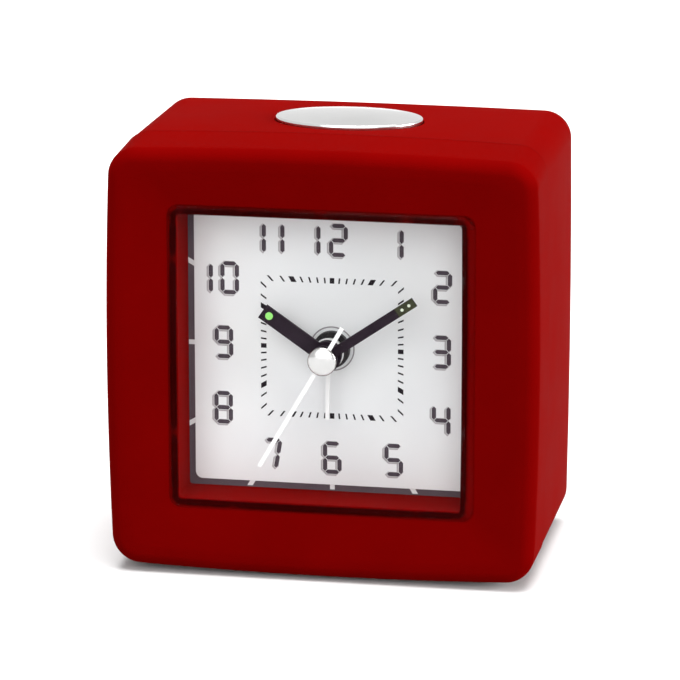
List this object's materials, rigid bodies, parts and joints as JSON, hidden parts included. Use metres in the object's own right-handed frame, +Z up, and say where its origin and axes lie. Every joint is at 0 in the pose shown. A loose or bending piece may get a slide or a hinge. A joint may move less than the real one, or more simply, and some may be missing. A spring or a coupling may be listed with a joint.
{
  "type": "analog alarm clock",
  "caption": "Square table alarm clock: dished red frame, clear window over a numbered white dial with hands, oval snooze button on top, setting knobs on the back.",
  "frame": {"origin": "bottom centre of the whole clock, on the plane its feet stand on", "axes": "+X to the right as seen from the front, +Y from the front to the back, +Z up"},
  "size_m": [0.09, 0.056, 0.0923],
  "materials": {
    "red_shell": "matte red moulded plastic",
    "clear_lens": "clear window",
    "silver_button": "satin silver plating",
    "dial_white": "white printed card",
    "dial_grey": "grey printed plate",
    "black_plastic": "black moulded plastic",
    "hand_black": "black paint",
    "hand_white": "white paint",
    "lume_green": "luminous paint",
    "lume_olive": "luminous paint, olive",
    "foot_rubber": "black rubber",
    "steel": "bright steel",
    "movement_white": "white acetal",
    "copper": "enamelled copper wire",
    "board_green": "green circuit board",
    "cell_jacket": "plain dark jacket",
    "wire_jacket": "wire insulation"
  },
  "bodies": {
    "case": {"front_bezel": "red_shell", "rear_case": "red_shell", "lens": "clear_lens", "rubber_feet": "foot_rubber", "dial_plate": "dial_grey", "dial_panel": "dial_white", "dial_collar": "black_plastic", "dial_screws": "steel", "case_screws": "steel", "movement_base": "movement_white", "movement_cover": "movement_white", "movement_screws": "steel", "train_bridge": "movement_white", "motor_stator": "steel", "coil_bobbin": "movement_white", "coil_winding": "copper", "snooze_switch": "black_plastic", "alarm_switch": "black_plastic", "battery": "cell_jacket", "battery_plate": "steel", "battery_spring": "steel", "circuit_board": "board_green", "board_screws": "steel", "control_chip": "black_plastic", "quartz_crystal": "steel", "buzzer": "black_plastic", "battery_leads": "wire_jacket", "signal_leads": "wire_jacket", "button_spring": "steel"},
    "button": {"snooze_button": "silver_button"},
    "second": {"second_wheel": "movement_white", "second_hand": "hand_white", "second_cap": "silver_button"},
    "minute": {"centre_wheel": "movement_white", "minute_hand": "hand_black", "minute_lume": "lume_olive"},
    "hour": {"hour_wheel": "movement_white", "hour_hand": "hand_black", "hour_lume": "lume_green"},
    "alarm": {"alarm_wheel": "movement_white", "alarm_hand": "hand_white"},
    "third": {"third_wheel": "movement_white"},
    "intermediate": {"intermediate_wheel": "movement_white"},
    "rotor": {"rotor_pinion": "movement_white", "rotor_magnet": "steel"},
    "time_set": {"time_set_shaft": "movement_white", "time_set_knob": "black_plastic"},
    "alarm_set": {"alarm_set_shaft": "movement_white", "alarm_set_knob": "black_plastic"},
    "slider": {"alarm_slider": "black_plastic"},
    "door": {"battery_door": "red_shell"}
  },
  "joints": [
    {"name": "second_turn", "type": "hinge", "parent": "case", "child": "second", "pos_m": [0, -0.0142, 0.04625], "axis": [0, 1, 0], "continuous": true},
    {"name": "third_turn", "type": "hinge", "parent": "case", "child": "third", "pos_m": [0, -0.0142, 0.03478], "axis": [0, 1, 0], "continuous": true},
    {"name": "intermediate_turn", "type": "hinge", "parent": "case", "child": "intermediate", "pos_m": [0, -0.0142, 0.05525], "axis": [0, 1, 0], "continuous": true},
    {"name": "rotor_turn", "type": "hinge", "parent": "case", "child": "rotor", "pos_m": [0, -0.0142, 0.064], "axis": [0, 1, 0], "continuous": true},
    {"name": "minute_turn", "type": "hinge", "parent": "case", "child": "minute", "pos_m": [0, -0.0142, 0.04625], "axis": [0, 1, 0], "continuous": true},
    {"name": "time_set_turn", "type": "hinge", "parent": "case", "child": "time_set", "pos_m": [-0.01205, -0.0142, 0.04948], "axis": [0, 1, 0], "continuous": true},
    {"name": "hour_turn", "type": "hinge", "parent": "case", "child": "hour", "pos_m": [0, -0.0142, 0.04625], "axis": [0, 1, 0], "continuous": true},
    {"name": "alarm_turn", "type": "hinge", "parent": "case", "child": "alarm", "pos_m": [0, -0.0142, 0.04625], "axis": [0, 1, 0], "continuous": true},
    {"name": "alarm_set_turn", "type": "hinge", "parent": "case", "child": "alarm_set", "pos_m": [0.01205, -0.0142, 0.04948], "axis": [0, 1, 0], "continuous": true},
    {"name": "snooze_press", "type": "slide", "parent": "case", "child": "button", "axis": [0, 0, -1], "range_m": [0, 0.0012], "stiffness_N_per_m": 500, "springref_m": -0.001, "deforming": ["button_spring"]},
    {"name": "alarm_switch_slide", "type": "slide", "parent": "case", "child": "slider", "axis": [1, 0, 0], "range_m": [0, 0.004]},
    {"name": "battery_door_pull", "type": "slide", "parent": "case", "child": "door", "axis": [0, 1, 0], "range_m": [0, 0.02]}
  ],
  "couplings": [
    {"joint": "third_turn", "follows": "second_turn", "ratio": -0.13333},
    {"joint": "intermediate_turn", "follows": "second_turn", "ratio": -5},
    {"joint": "rotor_turn", "follows": "second_turn", "ratio": 30},
    {"joint": "minute_turn", "follows": "second_turn", "ratio": 0.016667},
    {"joint": "time_set_turn", "follows": "second_turn", "ratio": -0.0055556},
    {"joint": "hour_turn", "follows": "second_turn", "ratio": 0.0013889},
    {"joint": "alarm_set_turn", "follows": "alarm_turn", "ratio": -4}
  ]
}
